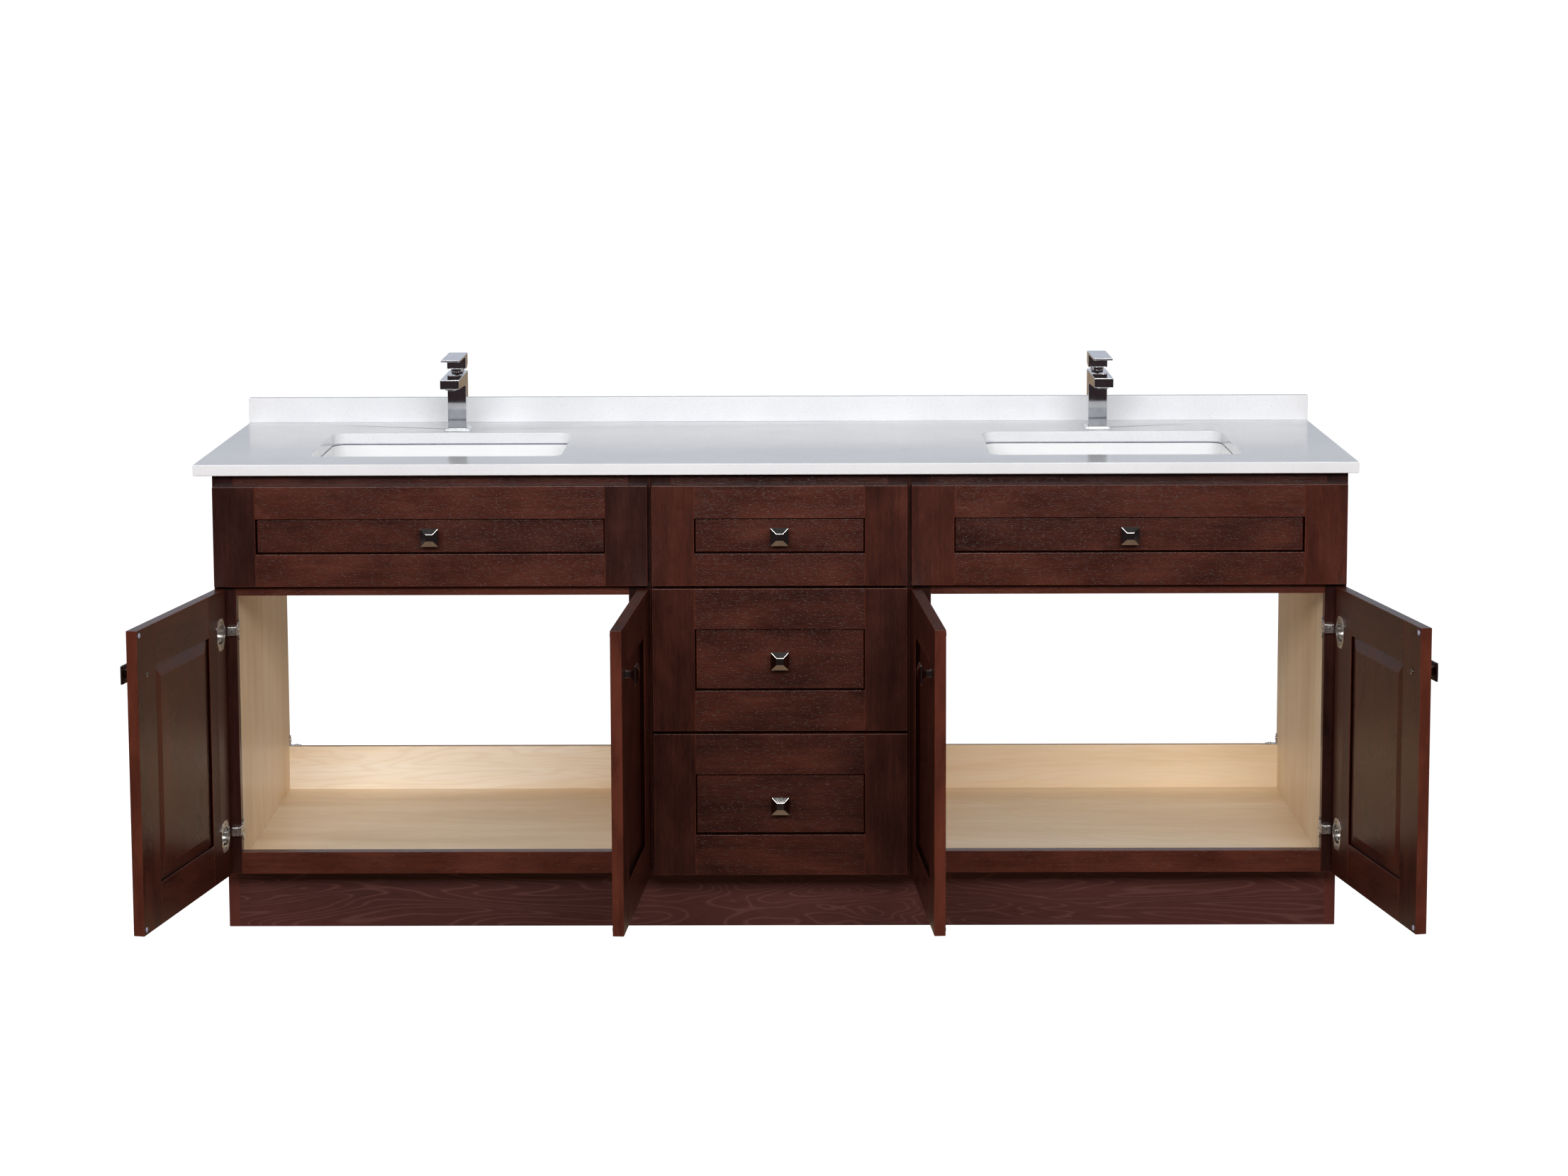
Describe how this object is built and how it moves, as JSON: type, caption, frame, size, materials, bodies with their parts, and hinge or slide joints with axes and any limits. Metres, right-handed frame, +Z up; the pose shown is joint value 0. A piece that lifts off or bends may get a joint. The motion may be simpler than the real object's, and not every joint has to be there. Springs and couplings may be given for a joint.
{
  "type": "double-sink bathroom vanity cabinet",
  "caption": "Dark stained double-sink bathroom vanity with white stone top, two bowls, single-lever taps, drawers and open doors.",
  "frame": {"origin": "on the floor, at the middle of the cabinets' width, in the plane of the wall behind them", "axes": "+X to the right seen from the front, +Y into the wall, +Z up"},
  "size_m": [2.1638, 0.9395, 0.9955],
  "materials": {
    "stained_wood": "dark reddish-brown stain under satin lacquer",
    "toe_veneer": "dark stained veneer, cathedral grain",
    "birch_ply": "clear coated pale plywood",
    "maple": "clear coated solid maple",
    "quartz": "polished, fine grey specks",
    "sink_glaze": "gloss",
    "chrome": "polished",
    "dark_nickel": "dark nickel, polished edges",
    "nickel": "nickel plated steel",
    "zinc_steel": "bright zinc",
    "brass_nickel": "threaded tail and nut",
    "clear_bumper": "translucent soft dots"
  },
  "bodies": {
    "cabinet": {"countertop": "quartz", "backsplash": "quartz", "sink_left": "sink_glaze", "sink_right": "sink_glaze", "sink_clips": "nickel", "sink_case_sides": "birch_ply", "sink_case_floors": "birch_ply", "sink_case_rails": "birch_ply", "corner_brackets": "nickel", "face_frame_left": "stained_wood", "face_frame_right": "stained_wood", "face_frame_mid": "stained_wood", "false_front_left": "stained_wood", "false_front_right": "stained_wood", "false_front_knobs": "dark_nickel", "drawer_case": "birch_ply", "drawer_case_back": "birch_ply", "case_runners": "zinc_steel", "toe_kick": "toe_veneer", "hinge_plates": "nickel", "tap_left_body": "chrome", "tap_left_shank": "brass_nickel", "tap_right_body": "chrome", "tap_right_shank": "brass_nickel"},
    "door_1": {"door_1_frame": "stained_wood", "door_1_panel": "stained_wood", "door_1_knob": "dark_nickel", "door_1_cups": "nickel", "door_1_bumpers": "clear_bumper"},
    "door_2": {"door_2_frame": "stained_wood", "door_2_panel": "stained_wood", "door_2_knob": "dark_nickel", "door_2_cups": "nickel", "door_2_bumpers": "clear_bumper"},
    "door_3": {"door_3_frame": "stained_wood", "door_3_panel": "stained_wood", "door_3_knob": "dark_nickel", "door_3_cups": "nickel", "door_3_bumpers": "clear_bumper"},
    "door_4": {"door_4_frame": "stained_wood", "door_4_panel": "stained_wood", "door_4_knob": "dark_nickel", "door_4_cups": "nickel", "door_4_bumpers": "clear_bumper"},
    "drawer_1": {"drawer_1_front": "stained_wood", "drawer_1_box": "maple", "drawer_1_runners": "zinc_steel", "drawer_1_knob": "dark_nickel"},
    "drawer_2": {"drawer_2_front": "stained_wood", "drawer_2_box": "maple", "drawer_2_runners": "zinc_steel", "drawer_2_knob": "dark_nickel"},
    "drawer_3": {"drawer_3_front": "stained_wood", "drawer_3_box": "maple", "drawer_3_runners": "zinc_steel", "drawer_3_knob": "dark_nickel"},
    "tap_left_valve": {"tap_left_stem": "chrome"},
    "tap_left_handle": {"tap_left_lever": "chrome"},
    "tap_right_valve": {"tap_right_stem": "chrome"},
    "tap_right_handle": {"tap_right_lever": "chrome"}
  },
  "joints": [
    {"name": "door_1_hinge", "type": "hinge", "parent": "cabinet", "child": "door_1", "pos_m": [-0.9845, -0.566, 0.118], "axis": [0, 0, -1], "range_deg": [-101.5, 3.5]},
    {"name": "door_2_hinge", "type": "hinge", "parent": "cabinet", "child": "door_2", "pos_m": [-0.23325, -0.566, 0.118], "axis": [0, 0, -1], "range_deg": [-19, 86]},
    {"name": "door_3_hinge", "type": "hinge", "parent": "cabinet", "child": "door_3", "pos_m": [0.23325, -0.566, 0.118], "axis": [0, 0, 1], "range_deg": [-19, 86]},
    {"name": "door_4_hinge", "type": "hinge", "parent": "cabinet", "child": "door_4", "pos_m": [0.9845, -0.566, 0.118], "axis": [0, 0, 1], "range_deg": [-101.5, 3.5]},
    {"name": "drawer_1_slide", "type": "slide", "parent": "cabinet", "child": "drawer_1", "axis": [0, -1, 0], "range_m": [0, 0.432]},
    {"name": "drawer_2_slide", "type": "slide", "parent": "cabinet", "child": "drawer_2", "axis": [0, -1, 0], "range_m": [0, 0.432]},
    {"name": "drawer_3_slide", "type": "slide", "parent": "cabinet", "child": "drawer_3", "axis": [0, -1, 0], "range_m": [0, 0.432]},
    {"name": "tap_left_turn", "type": "hinge", "parent": "cabinet", "child": "tap_left_valve", "pos_m": [-0.6055, -0.132, 0.962], "axis": [0, 0, 1], "range_deg": [-45, 45]},
    {"name": "tap_left_lift", "type": "hinge", "parent": "tap_left_valve", "child": "tap_left_handle", "pos_m": [-0.6055, -0.132, 0.98], "axis": [-1, 0, 0], "range_deg": [0, 18]},
    {"name": "tap_right_turn", "type": "hinge", "parent": "cabinet", "child": "tap_right_valve", "pos_m": [0.5915, -0.132, 0.962], "axis": [0, 0, 1], "range_deg": [-45, 45]},
    {"name": "tap_right_lift", "type": "hinge", "parent": "tap_right_valve", "child": "tap_right_handle", "pos_m": [0.5915, -0.132, 0.98], "axis": [-1, 0, 0], "range_deg": [0, 18]}
  ]
}
